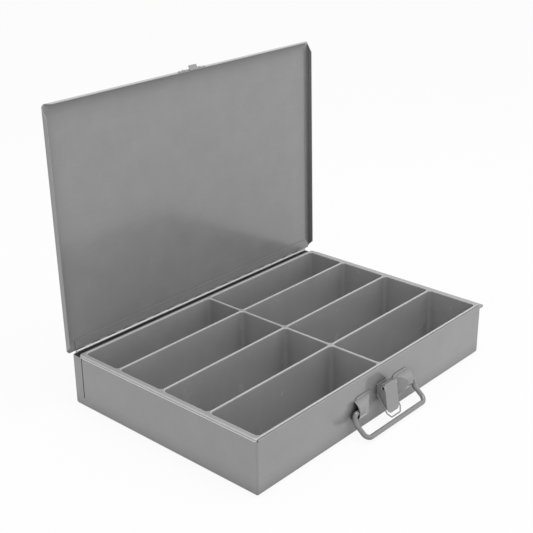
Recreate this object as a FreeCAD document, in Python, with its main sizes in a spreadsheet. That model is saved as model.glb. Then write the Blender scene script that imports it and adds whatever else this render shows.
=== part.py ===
import FreeCAD, Part
import math
import os
import re

import Sketcher

# Steel compartment box with its lid standing open: a folded steel tray with an eight-compartment
# liner, a lid on a continuous hinge, a bent-bar carry handle and a lever latch with a wire bail.
# Millimetres. Z is up, the front is towards -Y, and the origin is the middle of the tray's underside.

# Driving dimensions, one spreadsheet cell each.
SIZES = {
    # sheet steel and cuts
    "sheet_gauge": 0.9,
    "cut_overrun": 5.0,
    # tray
    "case_width": 440.4,
    "case_depth": 302.4,
    "wall_height": 68.0,
    "floor_bend": 4.5,
    "corner_bend": 2.5,
    "flange_reach": 7.7,
    "flange_lip": 3.3,
    "flange_bend": 1.2,
    "flange_setback": 0.7,
    "wrap_length": 17.5,
    "seam_gap": 1.6,
    "seam_foot": 13.0,
    "hem_drop": 4.0,
    "hem_rise": 2.2,
    "hem_thickness": 1.8,
    "hem_round": 0.8,
    # liner
    "rim_rise": 3.6,
    "rim_corner": 2.5,
    "rim_front_gap": 0.1,
    "rim_front_width": 2.9,
    "rim_side_width": 7.2,
    "rim_rear_width": 3.2,
    "rear_channel": 13.2,
    "liner_wall": 1.6,
    "liner_floor": 2.6,
    "liner_draft": 2.0,
    "divider_width": 3.0,
    "divider_round": 1.3,
    "row_count": 4,
    "row_pitch_share": 0.2613,
    "pocket_corner": 5.0,
    "pocket_round": 4.5,
    # hinge
    "hinge_rise": 2.9,
    "hinge_inset": 4.3,
    "hinge_pin_radius": 1.0,
    "hinge_pin_clearance": 0.05,
    "knuckle_radius": 1.85,
    "knuckle_clearance": 0.3,
    "knuckle_gap": 0.3,
    "knuckle_count": 34,
    "leaf_width": 14.5,
    "leaf_gauge": 0.8,
    # lid
    "lid_clearance": 0.4,
    "lid_overhang": 8.45,
    "lid_flange": 8.0,
    "lid_bend": 1.8,
    "lid_lean": 1.13,
    "lid_corner": 4.0,
    "lid_clip_across": 9.0,
    "lid_clip_front": 15.0,
    "lid_clip_rear": 10.5,
    # latch lever and its bracket
    "latch_drop": 20.5,
    "latch_stand": 11.0,
    "lever_gauge": 0.8,
    "lever_width": 23.0,
    "lever_top_rise": 4.9,
    "lever_top_reach": 2.0,
    "lever_tip_drop": 31.5,
    "lever_tip_reach": 8.0,
    "lever_back_reach": 8.6,
    "lever_back_rise": 0.5,
    "lever_back_drop": 12.5,
    "lever_corner": 6.0,
    "lever_foot": 5.0,
    "lever_flare": 1.2,
    "ear_radius": 1.65,
    "ear_gauge": 1.0,
    "ear_clearance": 0.8,
    "ear_neck_drop": 5.5,
    "ear_root": 7.0,
    "bracket_gauge": 1.0,
    "bracket_top_rise": 0.5,
    "lever_pin_radius": 0.8,
    "lever_pin_clearance": 0.05,
    "lever_pin_gap": 0.1,
    "lever_pin_head": 0.4,
    "lever_pin_head_radius": 1.6,
    # bail and strike
    "bail_radius": 0.8,
    "bail_hole_clearance": 0.1,
    "bail_pivot_in": 6.8,
    "bail_pivot_down": 9.8,
    "bail_side_gap": 0.9,
    "bail_bend": 1.7,
    "bail_neck_length": 6.2,
    "bail_half": 8.6,
    "bail_rest_angle": 54.0,
    "bail_end": 0.2,
    "strike_gauge": 0.8,
    "strike_width": 45.0,
    "strike_height": 7.0,
    "strike_tab_width": 13.4,
    "strike_reach": 5.6,
    "strike_rise": 3.6,
    "strike_drop": 0.95,
    "strike_lift": 2.2,
    "strike_corner": 2.0,
    "seat_stand": 2.15,
    "seat_clearance": 0.35,
    # handle and its plates
    "handle_drop": 16.5,
    "handle_stand": 5.3,
    "handle_radius": 3.1,
    "handle_clearance": 0.1,
    "handle_half": 59.2,
    "handle_knee_reach": 1.9,
    "handle_knee_drop": 10.8,
    "handle_bar_reach": 19.7,
    "handle_bar_drop": 24.9,
    "handle_end_bend": 5.0,
    "handle_knee_bend": 8.0,
    "handle_bar_bend": 8.0,
    "plate_gauge": 1.2,
    "plate_setback": 5.7,
    "plate_width": 33.5,
    "plate_top_rise": 17.0,
    "plate_foot_drop": 18.0,
    "plate_corner": 8.0,
    "socket_depth": 9.0,
    "socket_gap": 1.5,
    "hump_wall": 1.2,
    "hump_spread": 13.5,
    "hump_slope": 18.0,
    # rivets
    "rivet_radius": 1.3,
    "rivet_head_radius": 2.2,
    "rivet_head_height": 0.7,
    "rivet_clearance": 0.05,
    "bracket_rivet_half": 4.6,
    "bracket_rivet_rise": -4.2,
    "strike_rivet_half": 14.0,
}

# Places and sizes that follow from the driving dimensions.
PLACES = {
    "case_half": "case_width / 2",
    "front_face": "-case_depth / 2",
    "back_face": "case_depth / 2",
    "flange_half": "case_half + flange_reach",
    "flange_rear": "back_face - wrap_length",
    "flange_front": "front_face + flange_setback",
    "leaf_stand": "knuckle_radius + knuckle_clearance",
    "hinge_y": "back_face - sheet_gauge - leaf_stand",
    "hinge_z": "wall_height + hinge_rise",
    "hinge_length": "case_width - 2 * hinge_inset",
    "knuckle_pitch": "hinge_length / knuckle_count",
    "hinge_bore": "hinge_pin_radius + hinge_pin_clearance",
    "lid_half": "flange_half + lid_clearance + sheet_gauge",
    "lid_reach": "hinge_y - front_face + lid_overhang",
    "lid_skin": "leaf_stand + sheet_gauge",
    "liner_top": "wall_height + rim_rise",
    "rim_front": "front_face + hem_thickness + rim_front_gap",
    "rim_rear": "back_face - rear_channel",
    "liner_front": "rim_front + rim_front_width",
    "liner_rear": "rim_rear - rim_rear_width",
    "liner_half": "case_half - rim_side_width",
    "liner_depth": "liner_rear - liner_front",
    "row_pitch": "row_pitch_share * (liner_depth + divider_width)",
    "pocket_floor": "sheet_gauge + liner_floor",
    "latch_y": "front_face - latch_stand",
    "latch_z": "wall_height - latch_drop",
    "lever_half": "lever_width / 2",
    "lever_inner": "lever_half - lever_gauge",
    "ear_half": "lever_inner - ear_clearance",
    "hood_half": "ear_half - ear_gauge - ear_clearance / 2",
    "lever_bore": "lever_pin_radius + lever_pin_clearance",
    "lever_slope": "atan((lever_tip_reach - lever_top_reach) / (lever_tip_drop + lever_top_rise))",
    "lever_skin": "lever_gauge / cos(lever_slope)",
    "bail_bore": "bail_radius + bail_hole_clearance",
    "bail_leg": "lever_half + bail_side_gap + bail_radius",
    "bail_y": "latch_y + bail_pivot_in",
    "bail_z": "latch_z - bail_pivot_down",
    "strike_slope": "strike_rise / strike_reach",
    "strike_tilt": "atan(strike_slope)",
    "strike_skin": "strike_gauge / cos(strike_tilt)",
    "strike_root": "lid_flange - lid_skin + strike_drop",
    "seat_down": "strike_root - strike_skin - seat_stand * strike_slope"
                 " - (bail_radius + seat_clearance) / cos(strike_tilt)",
    "seat_rise": "hinge_z - seat_down - bail_z",
    "seat_out": "lid_overhang + seat_stand - latch_stand + bail_pivot_in",
    "bail_length": "sqrt(seat_out * seat_out + seat_rise * seat_rise)",
    "handle_y": "front_face - handle_stand",
    "handle_z": "latch_z - handle_drop",
    "handle_bore": "handle_radius + handle_clearance",
    "hump_top": "handle_stand + handle_bore + hump_wall",
    "plate_outer": "handle_half - plate_setback",
    "plate_inner": "plate_outer - plate_width",
    "socket_end": "plate_outer - socket_depth",
    "hump_end": "socket_end - hump_wall",
    "hump_curve": "(hump_spread * hump_spread + hump_top * hump_top) / (2 * hump_top)",
    "strike_middle": "(strike_lift + strike_height) / 2 - strike_root",
}

SIDES = ("", "-")
QUARTER_TURN = 90
NEAR = 1e-3

document = FreeCAD.newDocument("compartment_box")
home = {}


def fill_sheet(name, cells, as_text):
    """Write one named cell per line, with its alias."""
    sheet = document.addObject("Spreadsheet::Sheet", name)
    for row, (alias, content) in enumerate(cells.items(), 1):
        sheet.set(f"A{row}", alias)
        sheet.set(f"B{row}", as_text(content))
        sheet.setAlias(f"B{row}", alias)
        home[alias] = name
    document.recompute()
    return sheet


def reference(found):
    """A size name's spreadsheet cell; any other word, such as cos, stays as it is."""
    name = found[0]
    return f"{home[name]}.{name}" if name in home else name


def bind(text):
    """Turn plain size names into references to their spreadsheet cells."""
    return re.sub(r"[a-z_]+", reference, text)


fill_sheet("Sizes", SIZES, str)
places = fill_sheet("Places", PLACES, lambda text: "=" + bind(text))


def value(text):
    """The number that an expression in size names stands for now."""
    result = places.evalExpression(bind(text))
    return float(getattr(result, "Value", result))


def new_body(label):
    body = document.addObject("PartDesign::Body", label)
    body.Label = label
    return body


def place(item, x="0", y="0", z="0"):
    """Bind a sub-part's placement."""
    for axis, text in (("x", x), ("y", y), ("z", z)):
        item.setExpression(f"Placement.Base.{axis}", bind(text))


def sketch_on(body, role, start):
    """A sketch on one of the body's own planes, moved along the plane's axis to start."""
    plane = next(item for item in body.Origin.OriginFeatures if item.Role == role)
    sketch = body.newObject("Sketcher::SketchObject", body.Name + "_sketch")
    sketch.AttachmentSupport = (plane, "")
    sketch.MapMode = "FlatFace"
    shift = f"-({start})" if role == "XZ_Plane" else start
    sketch.setExpression("AttachmentOffset.Base.z", bind(shift))
    return sketch


def hold_point(sketch, edge, spot, x, y):
    """Hold one point of a sketch's edge (1 start, 2 end, 3 centre) at two bound distances."""
    for kind, text in (("DistanceX", x), ("DistanceY", y)):
        number = sketch.addConstraint(Sketcher.Constraint(kind, edge, spot, value(text)))
        sketch.setExpression(f"Constraints[{number}]", bind(text))


def draw_polygon(sketch, points):
    """Closed outline whose corners are each held at two bound distances."""
    spots = [FreeCAD.Vector(value(x), value(y), 0) for x, y in points]
    for index, spot in enumerate(spots):
        sketch.addGeometry(Part.LineSegment(spot, spots[(index + 1) % len(spots)]), False)
    for index in range(len(spots)):
        sketch.addConstraint(Sketcher.Constraint("Coincident", index, 2, (index + 1) % len(spots), 1))
    for index, (x, y) in enumerate(points):
        hold_point(sketch, index, 1, x, y)


def draw_circle(sketch, x, y, radius):
    """Circle held at a bound centre, with a bound radius."""
    middle = FreeCAD.Vector(value(x), value(y), 0)
    edge = sketch.addGeometry(Part.Circle(middle, FreeCAD.Vector(0, 0, 1), value(radius)), False)
    hold_point(sketch, edge, 3, x, y)
    number = sketch.addConstraint(Sketcher.Constraint("Radius", edge, value(radius)))
    sketch.setExpression(f"Constraints[{number}]", bind(radius))


def draw_corner(sketch, corner, first, last, radius, turn):
    """The piece between a square corner and its round, from the arc's first point on to its last."""
    spots = [FreeCAD.Vector(value(x), value(y), 0) for x, y in (corner, first, last)]
    size = value(radius)
    angles = [math.radians(turn), math.radians(turn + QUARTER_TURN)]
    middle = spots[1] - FreeCAD.Vector(math.cos(angles[0]), math.sin(angles[0]), 0) * size
    circle = Part.Circle(middle, FreeCAD.Vector(0, 0, 1), size)
    sketch.addGeometry(Part.LineSegment(spots[0], spots[1]), False)
    sketch.addGeometry(Part.ArcOfCircle(circle, *angles), False)
    sketch.addGeometry(Part.LineSegment(spots[2], spots[0]), False)
    for index in range(len(spots)):
        sketch.addConstraint(Sketcher.Constraint("Coincident", index, 2, (index + 1) % len(spots), 1))
    for index, (x, y) in enumerate((corner, first, last)):
        hold_point(sketch, index, 1, x, y)
    number = sketch.addConstraint(Sketcher.Constraint("Radius", 1, size))
    sketch.setExpression(f"Constraints[{number}]", bind(radius))


def draw_outline(sketch, outline):
    """A list is a polygon, a tuple of three a circle and a tuple of five a corner to be rounded off."""
    if isinstance(outline, list):
        draw_polygon(sketch, outline)
    elif len(outline) == len(("x", "y", "radius")):
        draw_circle(sketch, *outline)
    else:
        draw_corner(sketch, *outline)


def extrude(body, kind, role, outline, length, start="0"):
    """Pad or pocket an outline from start along its plane's axis (+Z, -Y or +X)."""
    sketch = sketch_on(body, role, start)
    draw_outline(sketch, outline)
    feature = body.newObject(f"PartDesign::{kind}", body.Name + "_" + kind.lower())
    feature.Profile = sketch
    feature.Reversed = kind == "Pocket"
    feature.setExpression("Length", bind(length))
    document.recompute()
    return feature


def pad(body, role, outline, length, start="0"):
    return extrude(body, "Pad", role, outline, length, start)


def pocket(body, role, outline, length, start="0"):
    before = body.Tip.Shape.Volume
    feature = extrude(body, "Pocket", role, outline, length, start)
    if feature.Shape.Volume >= before:
        raise RuntimeError(f"{feature.Name} cuts nothing")
    return feature


def rectangle(left, low, right, high):
    return [(left, low), (right, low), (right, high), (left, high)]


def edges_at(feature, **wanted):
    """Names of a feature's edges whose ends all lie at the given places; across means either side of X."""
    tests = {axis: value(text) for axis, text in wanted.items()}
    reads = {
        "x": lambda point: point.x,
        "y": lambda point: point.y,
        "z": lambda point: point.z,
        "across": lambda point: abs(point.x),
    }
    names = []
    for number, edge in enumerate(feature.Shape.Edges, 1):
        ends = [vertex.Point for vertex in edge.Vertexes]
        if all(abs(reads[axis](end) - goal) < NEAR for end in ends for axis, goal in tests.items()):
            names.append(f"Edge{number}")
    return names


def round_edges(body, names, radius):
    """Fillet named edges of the body's tip with a bound radius."""
    tip = body.Tip
    feature = body.newObject("PartDesign::Fillet", body.Name + "_fillet")
    feature.Base = (tip, names)
    feature.setExpression("Radius", bind(radius))
    document.recompute()
    return feature


def upright(feature, low, high):
    """Names of a feature's edges that run from one height to another."""
    heights = sorted((value(low), value(high)))
    names = []
    for number, edge in enumerate(feature.Shape.Edges, 1):
        ends = sorted(vertex.Point.z for vertex in edge.Vertexes)
        if len(ends) == len(heights) and max(abs(a - b) for a, b in zip(ends, heights)) < NEAR:
            names.append(f"Edge{number}")
    return names


def shell_open(body, faces_to_open):
    """Hollow the body's tip to the sheet's gauge, open at the faces that the test picks."""
    solid = body.Tip
    names = [f"Face{number}" for number, face in enumerate(solid.Shape.Faces, 1) if faces_to_open(face)]
    shell = body.newObject("PartDesign::Thickness", body.Name + "_shell")
    shell.Base = (solid, names)
    shell.Reversed = True
    shell.setExpression("Value", bind("sheet_gauge"))
    document.recompute()


def faces_towards(x, y, z):
    """A test for flat faces that look along one direction."""
    way = FreeCAD.Vector(x, y, z)
    return lambda face: face.Surface.TypeId == "Part::GeomPlane" and face.normalAt(0, 0).isEqual(way, NEAR)


def case_tray():
    """Floor, front and side walls folded from one sheet, cut low at the rear, with the right-hand flange."""
    body = new_body("case_tray")
    plan = rectangle("-case_half", "front_face", "case_half", "back_face")
    block = pad(body, "XY_Plane", plan, "wall_height")
    round_edges(body, upright(block, "0", "wall_height"), "corner_bend")
    round_edges(body, edges_at(body.Tip, z="0"), "floor_bend")
    shell_open(body, faces_towards(0, 0, 1))
    flange = rectangle("case_half - sheet_gauge", "wall_height - flange_lip", "flange_half", "wall_height")
    ledge = pad(body, "XZ_Plane", flange, "flange_rear - flange_front", "flange_rear")
    round_edges(body, edges_at(ledge, x="flange_half", z="wall_height"), "flange_bend")
    hem_top = "wall_height + hem_rise"
    hem = rectangle("front_face", "wall_height - hem_drop", "front_face + hem_thickness", hem_top)
    bead = pad(body, "YZ_Plane", hem, "case_width - 2 * corner_bend", "corner_bend - case_half")
    round_edges(body, edges_at(bead, z=hem_top), "hem_round")
    notch = rectangle("flange_rear", "seam_foot", "back_face + cut_overrun", "wall_height + cut_overrun")
    pocket(body, "YZ_Plane", notch, "case_width + 2 * cut_overrun", "-case_half - cut_overrun")
    inside = "front_face + sheet_gauge + cut_overrun"
    for side in SIDES:
        height = "latch_z + bracket_rivet_rise"
        hole = (f"{side}bracket_rivet_half", height, "rivet_radius + rivet_clearance")
        pocket(body, "XZ_Plane", hole, "sheet_gauge + 2 * cut_overrun", inside)
    return body


def back_panel():
    """Rear wall whose ends turn forward, each with a slit between it and the side wall."""
    body = new_body("back_panel")
    plan = rectangle("-case_half", "flange_rear + seam_gap", "case_half", "back_face")
    block = pad(body, "XY_Plane", plan, "wall_height - seam_foot", "seam_foot")
    rear = set(upright(block, "seam_foot", "wall_height")) & set(edges_at(block, y="back_face"))
    round_edges(body, sorted(rear), "corner_bend")
    open_ways = [faces_towards(0, 0, 1), faces_towards(0, 0, -1), faces_towards(0, -1, 0)]
    shell_open(body, lambda face: any(is_open(face) for is_open in open_ways))
    return body


def insert_tray():
    """Liner: a rim on the walls and eight scooped compartments in two columns."""
    body = new_body("insert_tray")
    half = "liner_half + liner_wall"
    block = rectangle(f"-({half})", "liner_front - liner_wall", half, "liner_rear + liner_wall")
    lump = pad(body, "XY_Plane", block, "liner_top - sheet_gauge", "sheet_gauge")
    round_edges(body, upright(lump, "sheet_gauge", "liner_top"), "rim_corner")
    round_edges(body, edges_at(body.Tip, z="sheet_gauge"), "floor_bend")
    outline = rectangle("-case_half", "rim_front", "case_half", "rim_rear")
    rim = pad(body, "XY_Plane", outline, "rim_rise", "wall_height")
    round_edges(body, upright(rim, "wall_height", "liner_top"), "rim_corner")
    rows = round(value("row_count"))
    for side in SIDES:
        for row in range(rows):
            near = f"liner_front + {row} * row_pitch"
            far = f"{near} + row_pitch - divider_width" if row < rows - 1 else "liner_rear"
            compartment(body, rectangle(f"{side}divider_width / 2", near, f"{side}liner_half", far))
    round_edges(body, upright(body.Tip, "pocket_floor", "liner_top"), "pocket_corner")
    round_edges(body, edges_at(body.Tip, z="pocket_floor"), "pocket_round")
    round_edges(body, edges_at(body.Tip, z="liner_top"), "divider_round")
    return body


def compartment(body, mouth):
    """Cut one compartment down from the liner's top, narrowing with the draft."""
    sketch = sketch_on(body, "XY_Plane", "liner_top")
    draw_polygon(sketch, mouth)
    before = body.Tip.Shape.Volume
    feature = body.newObject("PartDesign::Pocket", body.Name + "_compartment")
    feature.Profile = sketch
    feature.setExpression("Length", bind("liner_top - pocket_floor"))
    feature.setExpression("TaperAngle", bind("-liner_draft"))
    document.recompute()
    if feature.Shape.Volume >= before:
        raise RuntimeError(f"{feature.Name} cuts nothing")


def repeat_along_hinge(body, feature):
    """Repeat a feature at every second knuckle."""
    pattern = body.newObject("PartDesign::LinearPattern", body.Name + "_pattern")
    pattern.Originals = [feature]
    axis = next(item for item in body.Origin.OriginFeatures if item.Role == "X_Axis")
    pattern.Direction = (axis, [""])
    pattern.Mode = "Spacing"
    pattern.setExpression("Offset", bind("2 * knuckle_pitch"))
    pattern.setExpression("Occurrences", bind("knuckle_count / 2"))
    body.Tip = pattern
    document.recompute()


def hinge_leaf(label, side, own, other):
    """One leaf of the continuous hinge: its plate on one side of the axis, its knuckles at own places."""
    body = new_body(label)
    plate = rectangle("-hinge_length / 2", "0", "hinge_length / 2", f"{side}leaf_width")
    pad(body, "XZ_Plane", plate, "leaf_gauge", "leaf_stand")
    left = f"{other} * knuckle_pitch - hinge_length / 2 - knuckle_gap / 2"
    right = f"{left} + knuckle_pitch + knuckle_gap"
    notch = rectangle(left, f"-({side}cut_overrun)", right, f"{side}leaf_stand")
    through = "leaf_gauge + 2 * cut_overrun"
    repeat_along_hinge(body, pocket(body, "XZ_Plane", notch, through, "leaf_stand + cut_overrun"))
    start = f"{own} * knuckle_pitch - hinge_length / 2 + knuckle_gap / 2"
    tube = pad(body, "YZ_Plane", ("0", "0", "knuckle_radius"), "knuckle_pitch - knuckle_gap", start)
    repeat_along_hinge(body, tube)
    along = "hinge_length + 2 * cut_overrun"
    pocket(body, "YZ_Plane", ("0", "0", "hinge_bore"), along, "-hinge_length / 2 - cut_overrun")
    place(body, y="hinge_y", z="hinge_z")
    return body


def lean_back(body):
    """Turn a piece of the lid about the hinge axis to its open rest."""
    body.Placement.Rotation = FreeCAD.Rotation(FreeCAD.Vector(-1, 0, 0), value("lid_lean"))
    body.setExpression("Placement.Rotation.Angle", bind("lid_lean"))
    return body


def hinge_pin():
    pin = document.addObject("Part::Cylinder", "hinge_pin")
    pin.setExpression("Radius", bind("hinge_pin_radius"))
    pin.setExpression("Height", bind("hinge_length"))
    pin.Placement.Rotation = FreeCAD.Rotation(FreeCAD.Vector(0, 1, 0), QUARTER_TURN)
    place(pin, "-hinge_length / 2", "hinge_y", "hinge_z")
    return pin


def clip_corner(body, side, edge, way):
    """Cut a small triangle off one corner of the lid."""
    near = f"{side}(lid_half - lid_corner)"
    far = f"{side}(lid_half + cut_overrun)"
    corner = [
        (near, edge),
        (near, f"{edge} + {way}cut_overrun"),
        (far, f"{edge} + {way}cut_overrun"),
        (far, f"{edge} - {way}lid_corner"),
        (f"{side}lid_half", f"{edge} - {way}lid_corner"),
    ]
    pocket(body, "XZ_Plane", corner, "lid_flange + 2 * cut_overrun", "lid_skin + cut_overrun")


def slanted_end(edge, way, clip):
    """What a lid flange's slanted end leaves out, as places along the flange and out from the panel."""
    free = "lid_skin - lid_flange"
    return [
        (f"{edge} - {way}lid_corner", "leaf_stand"),
        (f"{edge} - {way}{clip}", free),
        (f"{edge} - {way}{clip}", f"{free} - cut_overrun"),
        (f"{edge} + {way}cut_overrun", f"{free} - cut_overrun"),
        (f"{edge} + {way}cut_overrun", "leaf_stand"),
    ]


def lid_pan():
    """Flat lid with a slant-ended flange on three sides, drawn upright about the hinge axis."""
    body = new_body("lid_pan")
    outer = rectangle("-lid_half", "knuckle_clearance", "lid_half", "lid_reach")
    block = pad(body, "XZ_Plane", outer, "lid_flange", "lid_skin")
    bends = edges_at(block, across="lid_half", y="lid_skin") + edges_at(block, z="lid_reach", y="lid_skin")
    round_edges(body, sorted(set(bends)), "lid_bend")
    half = "lid_half - sheet_gauge"
    inner = rectangle(f"-({half})", "-cut_overrun", half, "lid_reach - sheet_gauge")
    pocket(body, "XZ_Plane", inner, "lid_flange + cut_overrun", "leaf_stand")
    depth = "sheet_gauge + cut_overrun"
    for side in SIDES:
        start = "-lid_half - cut_overrun" if side else half
        ends = (("lid_reach", "", "lid_clip_front"), ("knuckle_clearance", "-", "lid_clip_rear"))
        for edge, way, clip in ends:
            clip_corner(body, side, edge, way)
            flange_end = [(out, along) for along, out in slanted_end(edge, way, clip)]
            pocket(body, "YZ_Plane", flange_end, depth, start)
        front_end = slanted_end(f"{side}lid_half", side, "lid_clip_across")
        pocket(body, "XY_Plane", front_end, depth, "lid_reach - sheet_gauge")
        hole = (f"{side}strike_rivet_half", "strike_middle", "rivet_radius + rivet_clearance")
        pocket(body, "XY_Plane", hole, depth + " + cut_overrun", "lid_reach - sheet_gauge - cut_overrun")
    place(body, y="hinge_y", z="hinge_z")
    return lean_back(body)


def latch_strike():
    """Plate on the lid's front flange with a tab that slants outward for the bail."""
    body = new_body("latch_strike")
    top = "strike_height - strike_root"
    plan = rectangle("-strike_width / 2", "strike_lift - strike_root", "strike_width / 2", top)
    plate = pad(body, "XY_Plane", plan, "strike_gauge", "lid_reach")
    round_edges(body, upright(plate, "lid_reach", "lid_reach + strike_gauge"), "strike_corner")
    stem = rectangle("-strike_tab_width / 2", "-strike_root", "strike_tab_width / 2", top)
    pad(body, "XY_Plane", stem, "strike_gauge", "lid_reach")
    tab = [
        ("-strike_root", "lid_reach"),
        ("strike_rise - strike_root", "lid_reach + strike_reach"),
        ("strike_rise - strike_root + strike_skin", "lid_reach + strike_reach"),
        ("strike_skin - strike_root", "lid_reach"),
    ]
    pad(body, "YZ_Plane", tab, "strike_tab_width", "-strike_tab_width / 2")
    for side in SIDES:
        hole = (f"{side}strike_rivet_half", "strike_middle", "rivet_radius + rivet_clearance")
        pocket(body, "XY_Plane", hole, "strike_gauge + 2 * cut_overrun", "lid_reach - cut_overrun")
    place(body, y="hinge_y", z="hinge_z")
    return lean_back(body)


def rivet_pair(label, half, grip):
    """Two rivets standing on Z, a shank of the given grip between two heads."""
    pieces = []
    for side in SIDES:
        for name, radius, height, start in (
            ("shank", "rivet_radius", f"{grip} + 2 * rivet_head_height", "-rivet_head_height"),
            ("head", "rivet_head_radius", "rivet_head_height", "-rivet_head_height"),
            ("head", "rivet_head_radius", "rivet_head_height", grip),
        ):
            piece = document.addObject("Part::Cylinder", f"{label}_{name}")
            piece.setExpression("Radius", bind(radius))
            piece.setExpression("Height", bind(height))
            place(piece, f"{side}{half}", z=start)
            pieces.append(piece)
    pair = document.addObject("Part::MultiFuse", label)
    pair.Shapes = pieces
    pair.Label = label
    return pair


def bracket_rivets():
    pair = rivet_pair("bracket_rivets", "bracket_rivet_half", "sheet_gauge + bracket_gauge")
    pair.Placement.Rotation = FreeCAD.Rotation(FreeCAD.Vector(1, 0, 0), QUARTER_TURN)
    place(pair, y="front_face + sheet_gauge", z="latch_z + bracket_rivet_rise")
    return pair


def strike_rivets():
    pair = rivet_pair("strike_rivets", "strike_rivet_half", "sheet_gauge + strike_gauge")
    lean_back(pair)
    swing_y = "strike_middle * cos(lid_lean) + (lid_reach - sheet_gauge) * sin(lid_lean)"
    swing_z = "(lid_reach - sheet_gauge) * cos(lid_lean) - strike_middle * sin(lid_lean)"
    place(pair, y=f"hinge_y + {swing_y}", z=f"hinge_z + {swing_z}")
    return pair


def latch_bracket():
    """Plate on the front wall with two goose-neck ears, which reach the lever's pivot from below."""
    body = new_body("latch_bracket")
    plate = rectangle("-ear_half", "-ear_neck_drop - ear_root", "ear_half", "bracket_top_rise")
    pad(body, "XZ_Plane", plate, "bracket_gauge")
    ear = [
        ("0", "-ear_neck_drop"),
        ("ear_radius - latch_stand", "-ear_neck_drop"),
        ("ear_radius - latch_stand", "0"),
        ("-ear_radius - latch_stand", "0"),
        ("-ear_radius - latch_stand", "-ear_neck_drop"),
        ("0", "-ear_neck_drop - ear_root"),
    ]
    for start in ("-ear_half", "ear_half - ear_gauge"):
        pad(body, "YZ_Plane", ear, "ear_gauge", start)
        pad(body, "YZ_Plane", ("-latch_stand", "0", "ear_radius"), "ear_gauge", start)
    across = "lever_width + 2 * cut_overrun"
    pocket(body, "YZ_Plane", ("-latch_stand", "0", "lever_bore"), across, "-lever_half - cut_overrun")
    for side in SIDES:
        hole = (f"{side}bracket_rivet_half", "bracket_rivet_rise", "rivet_radius + rivet_clearance")
        pocket(body, "XZ_Plane", hole, "bracket_gauge + 2 * cut_overrun", "cut_overrun")
    place(body, y="front_face", z="latch_z")
    return body


def lever_pin():
    """Pin through the ears and the lever, with a flat head at each end."""
    pieces = []
    for radius, length, start in (
        ("lever_pin_radius", "lever_width + 2 * lever_pin_gap", "-lever_half - lever_pin_gap"),
        ("lever_pin_head_radius", "lever_pin_head", "-lever_half - lever_pin_gap - lever_pin_head"),
        ("lever_pin_head_radius", "lever_pin_head", "lever_half + lever_pin_gap"),
    ):
        piece = document.addObject("Part::Cylinder", "lever_pin_piece")
        piece.setExpression("Radius", bind(radius))
        piece.setExpression("Height", bind(length))
        place(piece, z=start)
        pieces.append(piece)
    pin = document.addObject("Part::MultiFuse", "lever_pin")
    pin.Shapes = pieces
    pin.Label = "lever_pin"
    pin.Placement.Rotation = FreeCAD.Rotation(FreeCAD.Vector(0, 1, 0), QUARTER_TURN)
    place(pin, y="latch_y", z="latch_z")
    return pin


def latch_lever():
    """Channel-shaped lever about its pivot: sloping front, two side flanges, hood and flared finger end."""
    body = new_body("latch_lever")
    skin_top = "lever_top_reach - lever_skin"
    foot_z = "lever_foot - lever_tip_drop"
    foot_reach = "lever_tip_reach - lever_foot * tan(lever_slope)"
    side_view = [
        ("-lever_top_reach", "lever_top_rise"),
        (f"-({foot_reach})", foot_z),
        ("-lever_tip_reach - lever_flare", "-lever_tip_drop"),
        ("lever_skin - lever_tip_reach - lever_flare", "-lever_tip_drop"),
        (f"lever_skin - ({foot_reach})", foot_z),
        ("lever_back_reach", "-lever_back_drop"),
        ("lever_back_reach", "lever_back_rise"),
    ]
    pad(body, "YZ_Plane", side_view, "lever_width", "-lever_half")
    through = "lever_back_reach + lever_tip_reach + lever_flare + 2 * cut_overrun"
    beside = "lever_half - lever_corner"
    above = "lever_corner - lever_tip_drop"
    right = [("lever_half", "-lever_tip_drop"), (beside, "-lever_tip_drop"), ("lever_half", above)]
    left = [("-lever_half", "-lever_tip_drop"), ("-lever_half", above), (f"-({beside})", "-lever_tip_drop")]
    for spots, turn in ((right, 3 * QUARTER_TURN), (left, 2 * QUARTER_TURN)):
        corner = (*spots, "lever_corner", turn)
        pocket(body, "XZ_Plane", corner, through, "lever_back_reach + cut_overrun")
    hollow = [
        (f"cut_overrun * tan(lever_slope) - ({skin_top})", "lever_top_rise + cut_overrun"),
        (f"lever_skin - ({foot_reach})", foot_z),
        ("lever_back_reach + cut_overrun", foot_z),
        ("lever_back_reach + cut_overrun", "lever_top_rise + cut_overrun"),
    ]
    pocket(body, "YZ_Plane", hollow, "2 * lever_inner", "-lever_inner")
    hood = [
        ("-lever_top_reach", "lever_top_rise"),
        ("-lever_top_reach", "lever_top_rise - lever_gauge"),
        ("lever_back_reach", "lever_back_rise - lever_gauge"),
        ("lever_back_reach", "lever_back_rise"),
    ]
    pad(body, "YZ_Plane", hood, "2 * hood_half", "-hood_half")
    across = "lever_width + 2 * cut_overrun"
    pocket(body, "YZ_Plane", ("0", "0", "lever_bore"), across, "-lever_half - cut_overrun")
    bail_hole = ("bail_pivot_in", "-bail_pivot_down", "bail_bore")
    pocket(body, "YZ_Plane", bail_hole, across, "-lever_half - cut_overrun")
    place(body, y="latch_y", z="latch_z")
    return body


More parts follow.
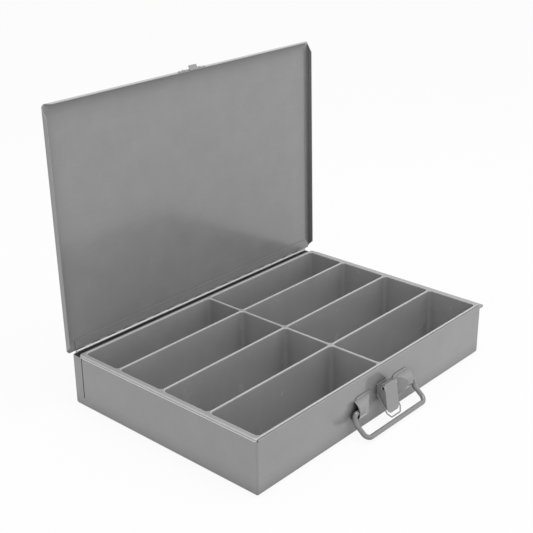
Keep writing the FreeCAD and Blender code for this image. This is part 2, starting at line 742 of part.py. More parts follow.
def bent_rod(label, corners, bends, radius):
    """Round rod along straight runs joined by tangent arcs; corners are points, bends their radii."""
    edges = []
    last = corners[0]
    for before, corner, after, bend in zip(corners, corners[1:], corners[2:], bends):
        back = (before - corner).normalize()
        ahead = (after - corner).normalize()
        half_angle = back.getAngle(ahead) / 2
        run = bend / math.tan(half_angle)
        first = corner + back * run
        final = corner + ahead * run
        inward = (back + ahead).normalize()
        middle = corner + inward * (bend / math.sin(half_angle) - bend)
        edges += [Part.LineSegment(last, first).toShape(), Part.Arc(first, middle, final).toShape()]
        last = final
    edges.append(Part.LineSegment(last, corners[-1]).toShape())
    spine = document.addObject("Part::Feature", label + "_spine")
    spine.Shape = Part.Wire(edges)
    section = document.addObject("Part::Circle", label + "_section")
    section.setExpression("Radius", bind(radius))
    turn = FreeCAD.Rotation(FreeCAD.Vector(0, 0, 1), corners[1] - corners[0])
    section.Placement = FreeCAD.Placement(corners[0], turn)
    rod = document.addObject("Part::Sweep", label)
    rod.Label = label
    rod.Sections = [section]
    rod.Spine = (spine, [f"Edge{number}" for number in range(1, len(edges) + 1)])
    rod.Solid = True
    return rod


def mirrored_path(points, bends):
    """Points and bends given on the left half, carried over to the right half."""
    path = [FreeCAD.Vector(-x, y, z) for x, y, z in points]
    path += [FreeCAD.Vector(x, y, z) for x, y, z in reversed(points)]
    return path, bends + list(reversed(bends))


def carry_handle():
    """Bent round bar whose ends turn inward into the plates' sockets."""
    half = value("handle_half")
    points = [
        (value("socket_end + socket_gap"), 0, 0),
        (half, 0, 0),
        (half, value("-handle_knee_reach"), value("-handle_knee_drop")),
        (half, value("-handle_bar_reach"), value("-handle_bar_drop")),
    ]
    bends = [value("handle_end_bend"), value("handle_knee_bend"), value("handle_bar_bend")]
    rod = bent_rod("carry_handle", *mirrored_path(points, bends), "handle_radius")
    place(rod, y="handle_y", z="handle_z")
    return rod


def latch_bail():
    """Wire loop whose ends turn inward into the lever's flanges and which narrows to a short crossbar."""
    leg = value("bail_leg")

    def along(distance):
        """How far forward and down a point lies that far along the loop at rest."""
        return value(f"-({distance}) * cos(bail_rest_angle)"), value(f"-({distance}) * sin(bail_rest_angle)")

    points = [
        (value("lever_inner - bail_end"), *along("0")),
        (leg, *along("0")),
        (leg, *along("bail_length - bail_neck_length")),
        (value("bail_half"), *along("bail_length")),
    ]
    bends = [value("bail_bend")] * (len(points) - 1)
    rod = bent_rod("latch_bail", *mirrored_path(points, bends), "bail_radius")
    place(rod, y="bail_y", z="bail_z")
    return rod


def handle_plate(label, side):
    """Plate on the front wall, pressed out into a hollow arch that holds one end of the handle."""
    body = new_body(label)
    outline = rectangle(f"{side}plate_inner", "-plate_foot_drop", f"{side}plate_outer", "plate_top_rise")
    plate = pad(body, "XZ_Plane", outline, "plate_gauge")
    corners = []
    for end in ("plate_inner", "plate_outer"):
        for height in ("-plate_foot_drop", "plate_top_rise"):
            corners += edges_at(plate, across=end, z=height)
    round_edges(body, corners, "plate_corner")
    foot = "hump_end - hump_slope"
    start = "-plate_outer" if side else foot
    pad(body, "YZ_Plane", ("hump_curve - hump_top", "0", "hump_curve"), f"plate_outer - ({foot})", start)
    behind = rectangle("0", "-hump_curve - cut_overrun", "2 * hump_curve", "hump_curve + cut_overrun")
    pocket(body, "YZ_Plane", behind, f"plate_outer - ({foot}) + 2 * cut_overrun", f"{start} - cut_overrun")
    slope = [
        (f"{side}hump_end", "-hump_top"),
        (f"{side}({foot})", "-plate_gauge"),
        (f"{side}({foot} - cut_overrun)", "-plate_gauge"),
        (f"{side}({foot} - cut_overrun)", "-hump_top - cut_overrun"),
        (f"{side}hump_end", "-hump_top - cut_overrun"),
    ]
    pocket(body, "XY_Plane", slope, "2 * hump_curve + 2 * cut_overrun", "-hump_curve - cut_overrun")
    socket = ("hump_curve - hump_top", "0", "hump_curve - hump_wall")
    mouth = "-plate_outer - cut_overrun" if side else "socket_end"
    pocket(body, "YZ_Plane", socket, "socket_depth + cut_overrun", mouth)
    place(body, y="front_face", z="handle_z")
    return body


def main():
    nodes = [
        case_tray(),
        back_panel(),
        hinge_leaf("hinge_case_leaf", "-", 0, 1),
        lean_back(hinge_leaf("hinge_lid_leaf", "", 1, 0)),
        hinge_pin(),
        lid_pan(),
        latch_strike(),
        strike_rivets(),
        latch_bracket(),
        bracket_rivets(),
        lever_pin(),
        latch_lever(),
        latch_bail(),
        carry_handle(),
        handle_plate("handle_plate_left", "-"),
        handle_plate("handle_plate_right", ""),
        insert_tray(),
    ]
    document.recompute()
    for item in document.Objects:
        if "Invalid" in item.State or "Error" in item.State:
            raise RuntimeError(f"{item.Name} failed: {item.State}")
    for node in nodes:
        if node.Shape.isNull() or not node.Shape.isValid():
            raise RuntimeError(f"{node.Label} has no valid shape")
    os.makedirs("parts", exist_ok=True)
    for node in nodes:
        node.Shape.exportStep(f"parts/{node.Label}.step")
        print(node.Label, len(node.Shape.Solids), round(node.Shape.Volume, 1))


main()
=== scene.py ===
"""Looks of a grey steel compartment box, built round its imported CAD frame."""

import math

import bpy
import bmesh
from mathutils import Euler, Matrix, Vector


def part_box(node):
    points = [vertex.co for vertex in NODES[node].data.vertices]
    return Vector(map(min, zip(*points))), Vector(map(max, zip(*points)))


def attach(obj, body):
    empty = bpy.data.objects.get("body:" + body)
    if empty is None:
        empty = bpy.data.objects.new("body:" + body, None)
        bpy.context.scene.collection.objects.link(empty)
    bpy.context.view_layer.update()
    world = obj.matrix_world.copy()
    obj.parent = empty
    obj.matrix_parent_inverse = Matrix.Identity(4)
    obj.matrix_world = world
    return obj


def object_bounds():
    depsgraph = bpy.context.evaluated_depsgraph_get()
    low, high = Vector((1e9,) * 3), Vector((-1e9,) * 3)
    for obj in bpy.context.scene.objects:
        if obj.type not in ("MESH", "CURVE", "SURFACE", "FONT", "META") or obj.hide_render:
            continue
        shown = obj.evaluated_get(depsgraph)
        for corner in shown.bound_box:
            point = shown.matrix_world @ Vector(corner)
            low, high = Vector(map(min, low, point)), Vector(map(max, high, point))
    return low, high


bl_info = {
    "name": "Compartment box looks",
    "version": (1, 0, 0),
    "blender": (4, 5, 0),
    "location": "3D View > Sidebar > Box",
    "description": "Finishes, small trim and stage for a steel compartment box",
    "category": "Object",
}

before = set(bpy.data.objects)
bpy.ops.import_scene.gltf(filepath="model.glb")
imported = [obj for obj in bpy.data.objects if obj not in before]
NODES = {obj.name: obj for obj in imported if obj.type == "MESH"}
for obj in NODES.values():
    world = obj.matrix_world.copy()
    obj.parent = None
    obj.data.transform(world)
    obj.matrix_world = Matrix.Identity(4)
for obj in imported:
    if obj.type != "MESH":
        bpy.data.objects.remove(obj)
CAD_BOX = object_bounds()

MM = 0.001
METRE_IN_MM = 1000.0

# The photograph's camera, solved from the box's edges: a square frame seen from the front left.
CAMERA_PLACE = (-0.9199, -0.7941, 0.6740)
CAMERA_TURN_DEGREES = (66.863, 0.439, -48.297)
CAMERA_LENS = 72.18
CAMERA_SENSOR = 36.0


def linear(hex_colour):
    """An sRGB hex colour as linear red, green, blue and alpha."""
    channels = [int(hex_colour[start:start + 2], 16) / 255 for start in (1, 3, 5)]
    return [c / 12.92 if c <= 0.04045 else ((c + 0.055) / 1.055) ** 2.4 for c in channels] + [1.0]


def per_metre(size_mm):
    """A pattern's scale, in repeats per metre, from its real size in millimetres."""
    return METRE_IN_MM / size_mm


def add_node(tree, kind, inputs=None, **settings):
    """Add one node with its settings, and set or link its inputs by name or number."""
    item = tree.nodes.new(kind)
    for name, setting in settings.items():
        setattr(item, name, setting)
    for name, content in (inputs or {}).items():
        if isinstance(content, bpy.types.NodeSocket):
            tree.links.new(content, item.inputs[name])
        else:
            item.inputs[name].default_value = content
    return item


def new_material(name):
    """An empty node material with its tree."""
    material = bpy.data.materials.new(name)
    material.use_nodes = True
    material.node_tree.nodes.clear()
    return material, material.node_tree


class BoxFinish(bpy.types.PropertyGroup):
    """Colours and finishes of the box."""

    enamel: bpy.props.FloatVectorProperty(
        name="Enamel", description="Grey enamel on the tray and the lid", subtype="COLOR", size=4,
        default=linear("#8d8d8d"), min=0, max=1,
    )
    liner: bpy.props.FloatVectorProperty(
        name="Liner", description="Grey of the compartment liner", subtype="COLOR", size=4,
        default=linear("#9c9c9c"), min=0, max=1,
    )
    latch: bpy.props.FloatVectorProperty(
        name="Latch", description="Grey enamel on the lever, its bracket and the strike",
        subtype="COLOR", size=4,
        default=linear("#8e8e8e"), min=0, max=1,
    )
    wire: bpy.props.FloatVectorProperty(
        name="Wire", description="Grey enamel on the handle bar and the bail", subtype="COLOR", size=4,
        default=linear("#828282"), min=0, max=1,
    )
    steel: bpy.props.FloatVectorProperty(
        name="Steel", description="Bare steel of pins and rivets", subtype="COLOR", size=4,
        default=linear("#c4c4c4"), min=0, max=1,
    )
    # Painted shade: the pin is coloured dark so that its ends read as the shaded hole inside the eyelets.
    pin: bpy.props.FloatVectorProperty(
        name="Pin", description="Dark oiled steel of the lever's pin", subtype="COLOR", size=4,
        default=linear("#4c4c4c"), min=0, max=1,
    )
    lip_depth: bpy.props.FloatProperty(
        name="Lip depth", description="How far the liner's rear lip reaches towards the hinge",
        subtype="DISTANCE",
        unit="LENGTH", default=3.4 * MM, min=0, max=6 * MM,
    )
    lip_gauge: bpy.props.FloatProperty(
        name="Lip gauge", description="Thickness of the liner's rear lip",
        subtype="DISTANCE", unit="LENGTH",
        default=1.0 * MM, min=0.2 * MM, max=2 * MM,
    )
    lip_drop: bpy.props.FloatProperty(
        name="Lip drop", description="How far the rear lip lies below the liner's top", subtype="DISTANCE",
        unit="LENGTH", default=1.8 * MM, min=0, max=5 * MM,
    )
    enamel_roughness: bpy.props.FloatProperty(
        name="Enamel roughness", description="Roughness of the semi-gloss enamel", subtype="FACTOR",
        default=0.2, min=0, max=1,
    )
    liner_roughness: bpy.props.FloatProperty(
        name="Liner roughness", description="Roughness of the liner's satin skin", subtype="FACTOR",
        default=0.24, min=0, max=1,
    )
    coat_roughness: bpy.props.FloatProperty(
        name="Coat roughness", description="Roughness of the clear last coat", subtype="FACTOR",
        default=0.13, min=0, max=1,
    )
    coat: bpy.props.FloatProperty(
        name="Clear coat", description="How much of the clear last coat the enamel has", subtype="FACTOR",
        default=0.5, min=0, max=1,
    )
    # Painted shade: how much darker the sheets are in inside corners and under the lid's flanges, where
    # shade falls.
    corner_shade: bpy.props.FloatProperty(
        name="Corner dust", description="How much darker dust makes the sheets' inside corners",
        subtype="FACTOR",
        default=0.45, min=0, max=1,
    )
    # Painted shade: how much darker the compartments' corners, the latch and the wires are where shade
    # falls.
    liner_corner_shade: bpy.props.FloatProperty(
        name="Liner dust", description="How much darker dust makes the compartments' corners",
        subtype="FACTOR",
        default=0.14, min=0, max=1,
    )
    # Painted shade: how much darker the walls get towards the bottom edge, where the box stands on the
    # floor.
    base_shade: bpy.props.FloatProperty(
        name="Foot scuffs", description="How much darker the tray's standing edge is", subtype="FACTOR",
        default=0.62, min=0, max=1,
    )
    # Height of the painted shade at the bottom edge.
    base_shade_reach: bpy.props.FloatProperty(
        name="Foot reach", description="How far up the walls the scuffs reach",
        subtype="DISTANCE", unit="LENGTH",
        default=6 * MM, min=0, max=20 * MM,
    )
    # Reach of the painted corner shade.
    corner_shade_reach: bpy.props.FloatProperty(
        name="Dust reach", description="How far the dust reaches from an inside corner", subtype="DISTANCE",
        unit="LENGTH", default=24 * MM, min=0, max=50 * MM,
    )
    peel: bpy.props.FloatProperty(
        name="Orange peel", description="Width of the enamel's orange-peel ripples in millimetres",
        default=5.0, min=0.5, max=20,
    )
    # Painted highlight: how much paler the sheets' rounded edges are, as if catching light.
    edge_highlight: bpy.props.FloatProperty(
        name="Edge thinning", description="How much paler the enamel is where it thins over an edge",
        subtype="FACTOR",
        default=0.4, min=0, max=1,
    )
    # Painted highlight: how much paler the liner's divider tops and rims are, as if catching light.
    divider_highlight: bpy.props.FloatProperty(
        name="Divider wear", description="How much paler the liner's rubbed top edges are",
        subtype="FACTOR",
        default=2.2, min=0, max=3,
    )
    # Width of the painted highlight along the liner's edges.
    divider_highlight_reach: bpy.props.FloatProperty(
        name="Divider wear reach", description="How far the rubbing reaches from the liner's edges",
        subtype="DISTANCE",
        unit="LENGTH", default=1.6 * MM, min=0, max=5 * MM,
    )
    knuckle: bpy.props.FloatProperty(
        name="Knuckle radius", description="How far from the hinge pin the enamel is rubbed off",
        subtype="DISTANCE",
        unit="LENGTH", default=2.4 * MM, min=0, max=5 * MM,
    )
    eyelet: bpy.props.FloatProperty(
        name="Eyelet radius", description="Radius of the rolled eyelets on the lever's pin",
        subtype="DISTANCE",
        unit="LENGTH", default=2.5 * MM, min=0.5 * MM, max=5 * MM,
    )
    eyelet_roll: bpy.props.FloatProperty(
        name="Eyelet roll", description="Radius of an eyelet's rolled edge",
        subtype="DISTANCE", unit="LENGTH",
        default=0.55 * MM, min=0.1 * MM, max=1 * MM,
    )
    edge: bpy.props.FloatProperty(
        name="Edge radius", description="Radius of the rounded sheet edges",
        subtype="DISTANCE", unit="LENGTH",
        default=0.7 * MM, min=0, max=3 * MM,
    )


class BoxStage(bpy.types.PropertyGroup):
    """Floor and light round the box."""

    floor: bpy.props.FloatVectorProperty(
        name="Floor", description="Colour of the pale floor", subtype="COLOR", size=4,
        default=linear("#e6e6e6"), min=0, max=1,
    )
    surround: bpy.props.FloatProperty(
        name="Surround", description="Strength of the white light from all round",
        default=0.74, min=0, max=2,
    )
    key_power: bpy.props.FloatProperty(
        name="Key power", description="Power of the large lamp at the front right",
        subtype="POWER", unit="POWER",
        default=2.5, min=0, max=500,
    )
    top_power: bpy.props.FloatProperty(
        name="Top power", description="Power of the large lamp overhead", subtype="POWER", unit="POWER",
        default=20.0, min=0, max=500,
    )


def highlight_and_shade(tree, film, highlight_gain, highlight_reach, corner_shade, corner_shade_reach):
    """A surface's tone: a painted highlight makes it paler over a ridge, and painted shade makes it darker
    in a corner.
    """
    if highlight_gain:
        # Painted highlight: ridges found by occlusion inside the solid are made paler.
        ridges = add_node(tree, "ShaderNodeAmbientOcclusion", {
            "Distance": highlight_reach,
        }, samples=8, inside=True)
        highlight = add_node(tree, "ShaderNodeMapRange", {
            "Value": ridges.outputs["AO"], "From Min": 0.95, "From Max": 0.55, "To Min": 0.0, "To Max": highlight_gain,
        })
        highlighted = add_node(tree, "ShaderNodeMath", {0: film, 1: highlight.outputs["Result"]}, operation="ADD")
        film = highlighted.outputs["Value"]
    # Painted shade: corners found by occlusion are made darker.
    corners = add_node(tree, "ShaderNodeAmbientOcclusion", {"Distance": corner_shade_reach}, samples=8)
    shaded = add_node(tree, "ShaderNodeMapRange", {
        "Value": corners.outputs["AO"], "From Min": 0.35, "From Max": 0.95,
        "To Min": 1.0 - corner_shade, "To Max": 1.0,
    })
    tone = add_node(tree, "ShaderNodeMath", {0: film, 1: shaded.outputs["Result"]}, operation="MULTIPLY")
    return tone.outputs["Value"]


def enamel_material(name, colour, finish, highlight_gain, corner_shade, base_shade=0.0):
    """Grey gloss enamel, sprayed over rolled sheet steel and baked under a clear last coat.

    The eye sees a soft mirror of what stands near, faint clouding where the film is thicker, the lengthwise
    streaks of the rolled sheet through it and an orange-peel ripple in the gloss. Painted light is added: a
    painted highlight makes edges paler, painted shade darkens inside corners, and painted shade darkens the
    walls towards the bottom edge.
    """
    material, tree = new_material(name)
    place = add_node(tree, "ShaderNodeTexCoord").outputs["Object"]
    clouds = add_node(tree, "ShaderNodeTexNoise", {
        "Vector": place, "Scale": per_metre(32.0), "Detail": 4.0, "Roughness": 0.55,
    })
    shade = add_node(tree, "ShaderNodeMapRange", {
        "Value": clouds.outputs["Fac"], "From Min": 0.3, "From Max": 0.7, "To Min": 0.96, "To Max": 1.04,
    })
    # Rolling streaks are about 2 mm apart and 60 mm long, coarser than on real sheet so that they show.
    along_sheet = add_node(tree, "ShaderNodeMapping", {
        "Vector": place, "Scale": (per_metre(60.0), per_metre(2.0), per_metre(2.0)),
    })
    streaks = add_node(tree, "ShaderNodeTexNoise", {
        "Vector": along_sheet.outputs["Vector"], "Scale": 1.0, "Detail": 3.0, "Roughness": 0.6,
    })
    rolled = add_node(tree, "ShaderNodeMapRange", {
        "Value": streaks.outputs["Fac"], "From Min": 0.3, "From Max": 0.7, "To Min": -0.02, "To Max": 0.02,
    })
    film = add_node(tree, "ShaderNodeMath", {
        0: shade.outputs["Result"], 1: rolled.outputs["Result"],
    }, operation="ADD")
    # Painted highlight on edges and painted shade in inside corners.
    tone = highlight_and_shade(tree, film.outputs["Value"], highlight_gain, finish.edge, corner_shade, finish.corner_shade_reach)
    # Painted shade: the tone darkens towards the bottom edge, where the box stands on the floor.
    if base_shade:
        axes = add_node(tree, "ShaderNodeSeparateXYZ", {"Vector": place})
        near_floor = add_node(tree, "ShaderNodeMapRange", {
            "Value": axes.outputs["Z"], "From Min": 0.0, "From Max": finish.base_shade_reach,
            "To Min": 1.0 - base_shade, "To Max": 1.0,
        })
        floor_shaded = add_node(tree, "ShaderNodeMath", {
            0: tone, 1: near_floor.outputs["Result"],
        }, operation="MULTIPLY")
        tone = floor_shaded.outputs["Value"]
    tint = add_node(tree, "ShaderNodeVectorMath", {0: tuple(colour)[:3], "Scale": tone}, operation="SCALE")
    rounded = add_node(tree, "ShaderNodeBevel", {"Radius": finish.edge}, samples=6)
    ripple = add_node(tree, "ShaderNodeTexNoise", {
        "Vector": place, "Scale": per_metre(finish.peel), "Detail": 2.0, "Roughness": 0.5,
    })
    skin = add_node(tree, "ShaderNodeBump", {
        "Strength": 0.35, "Distance": 0.05 * MM, "Height": ripple.outputs["Fac"],
        "Normal": rounded.outputs["Normal"],
    })
    gloss = add_node(tree, "ShaderNodeMapRange", {
        "Value": clouds.outputs["Fac"], "From Min": 0.3, "From Max": 0.7,
        "To Min": finish.enamel_roughness - 0.03, "To Max": finish.enamel_roughness + 0.04,
    })
    shader = add_node(tree, "ShaderNodeBsdfPrincipled", {
        "Base Color": tint.outputs["Vector"], "Roughness": gloss.outputs["Result"], "IOR": 1.52,
        "Normal": rounded.outputs["Normal"], "Coat Weight": finish.coat,
        "Coat Roughness": finish.coat_roughness, "Coat Normal": skin.outputs["Normal"],
    })
    add_node(tree, "ShaderNodeOutputMaterial", {"Surface": shader.outputs["BSDF"]})
    return material


def moulding_material(name, colour, finish, highlight_gain):
    """Grey moulded plastic with a satin skin.

    The eye sees soft vertical sheen down the compartment walls, faint flow clouds, divider tops and rims
    made paler by a painted highlight, and painted shade in the corners.
    """
    material, tree = new_material(name)
    place = add_node(tree, "ShaderNodeTexCoord").outputs["Object"]
    clouds = add_node(tree, "ShaderNodeTexNoise", {
        "Vector": place, "Scale": per_metre(32.0), "Detail": 4.0, "Roughness": 0.55,
    })
    flow = add_node(tree, "ShaderNodeMapRange", {
        "Value": clouds.outputs["Fac"], "From Min": 0.3, "From Max": 0.7, "To Min": 0.96, "To Max": 1.04,
    })
    # Painted highlight on divider tops and rims, painted shade in corners.
    tone = highlight_and_shade(
        tree, flow.outputs["Result"], highlight_gain, finish.divider_highlight_reach, finish.liner_corner_shade, finish.corner_shade_reach,
    )
    tint = add_node(tree, "ShaderNodeVectorMath", {0: tuple(colour)[:3], "Scale": tone}, operation="SCALE")
    rounded = add_node(tree, "ShaderNodeBevel", {"Radius": finish.edge}, samples=6)
    gloss = add_node(tree, "ShaderNodeMapRange", {
        "Value": clouds.outputs["Fac"], "From Min": 0.3, "From Max": 0.7,
        "To Min": finish.liner_roughness - 0.03, "To Max": finish.liner_roughness + 0.04,
    })
    shader = add_node(tree, "ShaderNodeBsdfPrincipled", {
        "Base Color": tint.outputs["Vector"], "Roughness": gloss.outputs["Result"], "IOR": 1.5,
        "Normal": rounded.outputs["Normal"],
    })
    add_node(tree, "ShaderNodeOutputMaterial", {"Surface": shader.outputs["BSDF"]})
    return material


def steel_material(name, colour, roughness, edge):
    """Zinc-plated steel: a dull bright metal with a fine grey bloom."""
    material, tree = new_material(name)
    place = add_node(tree, "ShaderNodeTexCoord").outputs["Object"]
    bloom = add_node(tree, "ShaderNodeTexNoise", {
        "Vector": place, "Scale": per_metre(3.0), "Detail": 3.0, "Roughness": 0.6,
    })
    gloss = add_node(tree, "ShaderNodeMapRange", {
        "Value": bloom.outputs["Fac"], "From Min": 0.3, "From Max": 0.7,
        "To Min": roughness - 0.06, "To Max": roughness + 0.08,
    })
    round_edge = add_node(tree, "ShaderNodeBevel", {"Radius": edge}, samples=6)
    shader = add_node(tree, "ShaderNodeBsdfPrincipled", {
        "Base Color": tuple(colour), "Metallic": 1.0, "Roughness": gloss.outputs["Result"],
        "Normal": round_edge.outputs["Normal"],
    })
    add_node(tree, "ShaderNodeOutputMaterial", {"Surface": shader.outputs["BSDF"]})
    return material


def dress(material, *node_names):
    """Give CAD nodes a material."""
    for name in node_names:
        mesh = NODES[name].data
        mesh.materials.clear()
        mesh.materials.append(material)


class OBJECT_OT_box_sheets(bpy.types.Operator):
    """Enamel the folded sheets: the tray, its rear wall, the lid and the handle plates"""

    bl_idname = "object.box_sheets"
    bl_label = "Enamelled sheets"

    def execute(self, context):
        finish = context.scene.box_finish
        # The sheets get the painted edge highlight, painted corner shade and painted shade along the bottom
        # edge.
        enamel = enamel_material(
            "grey_enamel", finish.enamel, finish, finish.edge_highlight, finish.corner_shade, finish.base_shade,
        )
        dress(enamel, "case_tray", "back_panel", "lid_pan", "handle_plate_left", "handle_plate_right")
        return {"FINISHED"}


class OBJECT_OT_box_liner(bpy.types.Operator):
    """Finish the liner with its eight compartments, and give it its rear lip"""

    bl_idname = "object.box_liner"
    bl_label = "Compartment liner"

    def execute(self, context):
        finish = context.scene.box_finish
        # The liner gets a painted highlight on its divider tops and painted shade in its corners.
        liner = moulding_material("grey_liner", finish.liner, finish, finish.divider_highlight)
        dress(liner, "insert_tray")
        lip = make_rear_lip(context, finish)
        # The lip gets painted corner shade but no painted highlight.
        lip.data.materials.append(moulding_material("liner_without_highlight", finish.liner, finish, 0.0))
        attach(lip, "case")
        return {"FINISHED"}


def make_rear_lip(context, finish):
    """The liner's slim rear lip, which narrows the gap in front of the hinge."""
    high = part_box("insert_tray")[1]
    leaf_low, leaf_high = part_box("hinge_case_leaf")
    top = high[2] - finish.lip_drop
    near = Vector((leaf_low[0], high[1] - finish.lip_gauge, top - finish.lip_gauge))
    far = Vector((leaf_high[0], high[1] + finish.lip_depth, top))
    shape = bmesh.new()
    bmesh.ops.create_cube(shape, size=1.0)
    bmesh.ops.scale(shape, verts=shape.verts[:], vec=far - near)
    bmesh.ops.translate(shape, verts=shape.verts[:], vec=(near + far) / 2)
    mesh = bpy.data.meshes.new("liner_rear_lip")
    shape.to_mesh(mesh)
    shape.free()
    lip = bpy.data.objects.new("liner_rear_lip", mesh)
    context.scene.collection.objects.link(lip)
    return lip


class OBJECT_OT_box_hinge(bpy.types.Operator):
    """Finish the continuous hinge: enamelled leaves, knuckles rubbed to bright steel, and the pin"""

    bl_idname = "object.box_hinge"
    bl_label = "Continuous hinge"

    def execute(self, context):
        finish = context.scene.box_finish
        steel = steel_material("plated_steel", finish.steel, 0.35, finish.edge)
        dress(steel, "hinge_pin")
        # The hinge leaves get painted shade in their corners.
        enamel = enamel_material("hinge_enamel", finish.enamel, finish, 0.0, finish.corner_shade)
        rub_knuckles(enamel, finish)
        dress(enamel, "hinge_case_leaf", "hinge_lid_leaf")
        return {"FINISHED"}


def rub_knuckles(material, finish):
    """Let bare steel show through the enamel on the knuckles, where turning rubs it off."""
    tree = material.node_tree
    output = next(item for item in tree.nodes if item.type == "OUTPUT_MATERIAL")
    painted = output.inputs["Surface"].links[0].from_socket
    place = add_node(tree, "ShaderNodeTexCoord").outputs["Object"]
    low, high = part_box("hinge_pin")
    axis = (Vector(low) + Vector(high)) / 2
    across = add_node(tree, "ShaderNodeVectorMath", {0: place, 1: (0.0, 1.0, 1.0)}, operation="MULTIPLY")
    away = add_node(tree, "ShaderNodeVectorMath", {
        0: across.outputs["Vector"], 1: (0.0, axis.y, axis.z),
    }, operation="DISTANCE")
    rubbed = add_node(tree, "ShaderNodeMapRange", {
        "Value": away.outputs["Value"], "From Min": finish.knuckle * 0.9, "From Max": finish.knuckle * 1.1,
        "To Min": 1.0, "To Max": 0.0,
    })
    bare = add_node(tree, "ShaderNodeBsdfPrincipled", {
        "Base Color": tuple(finish.steel), "Metallic": 1.0, "Roughness": 0.5,
    })
    both = add_node(tree, "ShaderNodeMixShader", {
        0: rubbed.outputs["Result"], 1: painted, 2: bare.outputs["BSDF"],
    })
    tree.links.new(both.outputs["Shader"], output.inputs["Surface"])


class OBJECT_OT_box_latch(bpy.types.Operator):
    """Finish the latch: lever, bracket, strike, pin and rivets"""

    bl_idname = "object.box_latch"
    bl_label = "Lever latch"

    def execute(self, context):
        finish = context.scene.box_finish
        # The latch gets the painted edge highlight and painted corner shade.
        enamel = enamel_material("latch_enamel", finish.latch, finish, finish.edge_highlight, finish.liner_corner_shade)
        dress(enamel, "latch_lever", "latch_bracket", "latch_strike")
        dress(bpy.data.materials["plated_steel"], "bracket_rivets", "strike_rivets")
        # The pin is coloured dark as painted shade: its ends read as the shaded hole inside the eyelets.
        dress(steel_material("dark_shade_steel", finish.pin, 0.45, finish.edge), "lever_pin")
        return {"FINISHED"}


class OBJECT_OT_box_eyelets(bpy.types.Operator):
    """Roll an eyelet round each end of the lever's pin"""

    bl_idname = "object.box_eyelets"
    bl_label = "Lever eyelets"

    def execute(self, context):
        finish = context.scene.box_finish
        low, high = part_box("lever_pin")
        pin = (Vector(low) + Vector(high)) / 2
        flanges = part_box("latch_lever")
        for name, flange in zip(("lever_eyelet_left", "lever_eyelet_right"), flanges):
            eyelet = make_ring(context, name, finish.eyelet, finish.eyelet_roll, (flange[0], pin.y, pin.z))
            eyelet.data.materials.append(bpy.data.materials["plated_steel"])
            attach(eyelet, "lever")
        return {"FINISHED"}


def make_ring(context, name, radius, roll, centre):
    """A rolled ring that lies square to X about a centre."""
    shape = bmesh.new()
    section = bmesh.ops.create_circle(shape, radius=roll, segments=16)["verts"]
    bmesh.ops.translate(shape, verts=section, vec=(0.0, radius, 0.0))
    bmesh.ops.spin(shape, geom=shape.verts[:] + shape.edges[:], axis=(1, 0, 0), angle=math.tau, steps=48)
    bmesh.ops.remove_doubles(shape, verts=shape.verts[:], dist=roll / 100)
    bmesh.ops.recalc_face_normals(shape, faces=shape.faces[:])
    bmesh.ops.translate(shape, verts=shape.verts[:], vec=centre)
    for face in shape.faces:
        face.smooth = True
    mesh = bpy.data.meshes.new(name)
    shape.to_mesh(mesh)
    shape.free()
    ring = bpy.data.objects.new(name, mesh)
    context.scene.collection.objects.link(ring)
    return ring


class OBJECT_OT_box_wires(bpy.types.Operator):
    """Finish the bent bars: the carry handle and the bail"""

    bl_idname = "object.box_wires"
    bl_label = "Handle and bail"

    def execute(self, context):
        finish = context.scene.box_finish
        # The handle and bail get painted shade where they are hemmed in.
        enamel = enamel_material("wire_enamel", finish.wire, finish, 0.0, finish.liner_corner_shade)
        dress(enamel, "carry_handle", "latch_bail")
        return {"FINISHED"}


class OBJECT_OT_box_stage(bpy.types.Operator):
    """Set up the floor, the light and the camera"""

    bl_idname = "object.box_stage"
    bl_label = "Stage"

    def execute(self, context):
        stage = context.scene.box_stage
        context.scene.view_settings.view_transform = "Standard"
        make_floor(context, stage.floor)
        make_surround(context, stage.surround)
        make_lamp(context, "key_lamp", stage.key_power, 1.6, (1.5, -1.9, 0.9))
        make_lamp(context, "top_lamp", stage.top_power, 1.2, (0.1, -0.45, 2.1))
        make_camera(context)
        return {"FINISHED"}


def make_floor(context, colour):
    """A wide pale floor, white to the camera but for the box's soft shadow."""
    mesh = bpy.data.meshes.new("floor")
    shape = bmesh.new()
    bmesh.ops.create_grid(shape, x_segments=1, y_segments=1, size=6.0)
    shape.to_mesh(mesh)
    shape.free()
    floor = bpy.data.objects.new("floor", mesh)
    context.scene.collection.objects.link(floor)
    material, tree = new_material("pale_floor")
    rays = add_node(tree, "ShaderNodeLightPath")
    seen = add_node(tree, "ShaderNodeMath", {
        0: rays.outputs["Is Camera Ray"], 1: rays.outputs["Is Glossy Ray"],
    }, operation="MAXIMUM")
    matt = add_node(tree, "ShaderNodeBsdfDiffuse", {"Color": tuple(colour)})
    white = add_node(tree, "ShaderNodeEmission", {"Strength": 1.0})
    share = add_node(tree, "ShaderNodeMath", {
        0: seen.outputs["Value"], 1: 0.92,
    }, operation="MULTIPLY")
    both = add_node(tree, "ShaderNodeMixShader", {
        0: share.outputs["Value"], 1: matt.outputs["BSDF"], 2: white.outputs["Emission"],
    })
    add_node(tree, "ShaderNodeOutputMaterial", {"Surface": both.outputs["Shader"]})
    mesh.materials.append(material)


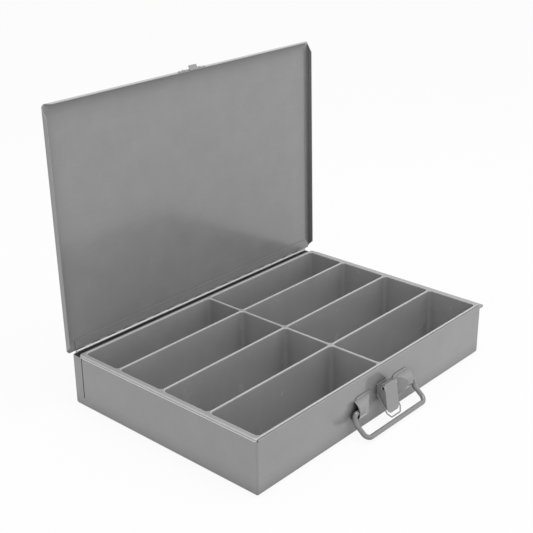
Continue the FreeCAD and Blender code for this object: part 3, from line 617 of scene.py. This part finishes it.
def make_surround(context, strength):
    """White all round: at full strength for the camera and reflections, dimmer as light on the box."""
    world = bpy.data.worlds.new("surround")
    world.use_nodes = True
    tree = world.node_tree
    tree.nodes.clear()
    rays = add_node(tree, "ShaderNodeLightPath")
    seen = add_node(tree, "ShaderNodeMath", {
        0: rays.outputs["Is Camera Ray"], 1: rays.outputs["Is Glossy Ray"],
    }, operation="MAXIMUM")
    seen_through = add_node(tree, "ShaderNodeMath", {
        0: seen.outputs["Value"], 1: rays.outputs["Is Transmission Ray"],
    }, operation="MAXIMUM")
    level = add_node(tree, "ShaderNodeMapRange", {
        "Value": seen_through.outputs["Value"], "To Min": strength, "To Max": 1.0,
    })
    white = add_node(tree, "ShaderNodeBackground", {"Strength": level.outputs["Result"]})
    white.inputs["Color"].default_value = (1.0, 1.0, 1.0, 1.0)
    add_node(tree, "ShaderNodeOutputWorld", {"Surface": white.outputs["Background"]})
    context.scene.world = world


def make_lamp(context, name, power, size, place):
    """A square area lamp that faces the middle of the box."""
    lamp = bpy.data.lights.new(name, "AREA")
    lamp.energy = power
    lamp.size = size
    item = bpy.data.objects.new(name, lamp)
    item.location = place
    middle = (Vector(CAD_BOX[0]) + Vector(CAD_BOX[1])) / 2
    item.rotation_euler = (middle - Vector(place)).to_track_quat("-Z", "Y").to_euler()
    context.scene.collection.objects.link(item)


def make_camera(context):
    """The photograph's camera."""
    lens = bpy.data.cameras.new("camera")
    lens.lens = CAMERA_LENS
    lens.sensor_width = CAMERA_SENSOR
    camera = bpy.data.objects.new("camera", lens)
    camera.location = CAMERA_PLACE
    camera.rotation_euler = Euler([math.radians(turn) for turn in CAMERA_TURN_DEGREES])
    context.scene.collection.objects.link(camera)
    context.scene.camera = camera


class VIEW3D_PT_box(bpy.types.Panel):
    """Finishes and stage of the box"""

    bl_idname = "VIEW3D_PT_box"
    bl_label = "Compartment box"
    bl_space_type = "VIEW_3D"
    bl_region_type = "UI"
    bl_category = "Box"

    def draw(self, context):
        for group in (context.scene.box_finish, context.scene.box_stage):
            for name in group.__annotations__:
                self.layout.prop(group, name)
        for operator in OPERATORS:
            self.layout.operator(operator.bl_idname)


OPERATORS = (
    OBJECT_OT_box_sheets,
    OBJECT_OT_box_liner,
    OBJECT_OT_box_hinge,
    OBJECT_OT_box_latch,
    OBJECT_OT_box_eyelets,
    OBJECT_OT_box_wires,
    OBJECT_OT_box_stage,
)
CLASSES = (BoxFinish, BoxStage) + OPERATORS + (VIEW3D_PT_box,)


def register():
    for item in CLASSES:
        bpy.utils.register_class(item)
    bpy.types.Scene.box_finish = bpy.props.PointerProperty(type=BoxFinish)
    bpy.types.Scene.box_stage = bpy.props.PointerProperty(type=BoxStage)


def unregister():
    del bpy.types.Scene.box_stage
    del bpy.types.Scene.box_finish
    for item in reversed(CLASSES):
        bpy.utils.unregister_class(item)


def main():
    register()
    bpy.ops.object.box_sheets()
    bpy.ops.object.box_liner()
    bpy.ops.object.box_hinge()
    bpy.ops.object.box_latch()
    bpy.ops.object.box_eyelets()
    bpy.ops.object.box_wires()
    bpy.ops.object.box_stage()


if __name__ == "__main__":
    main()
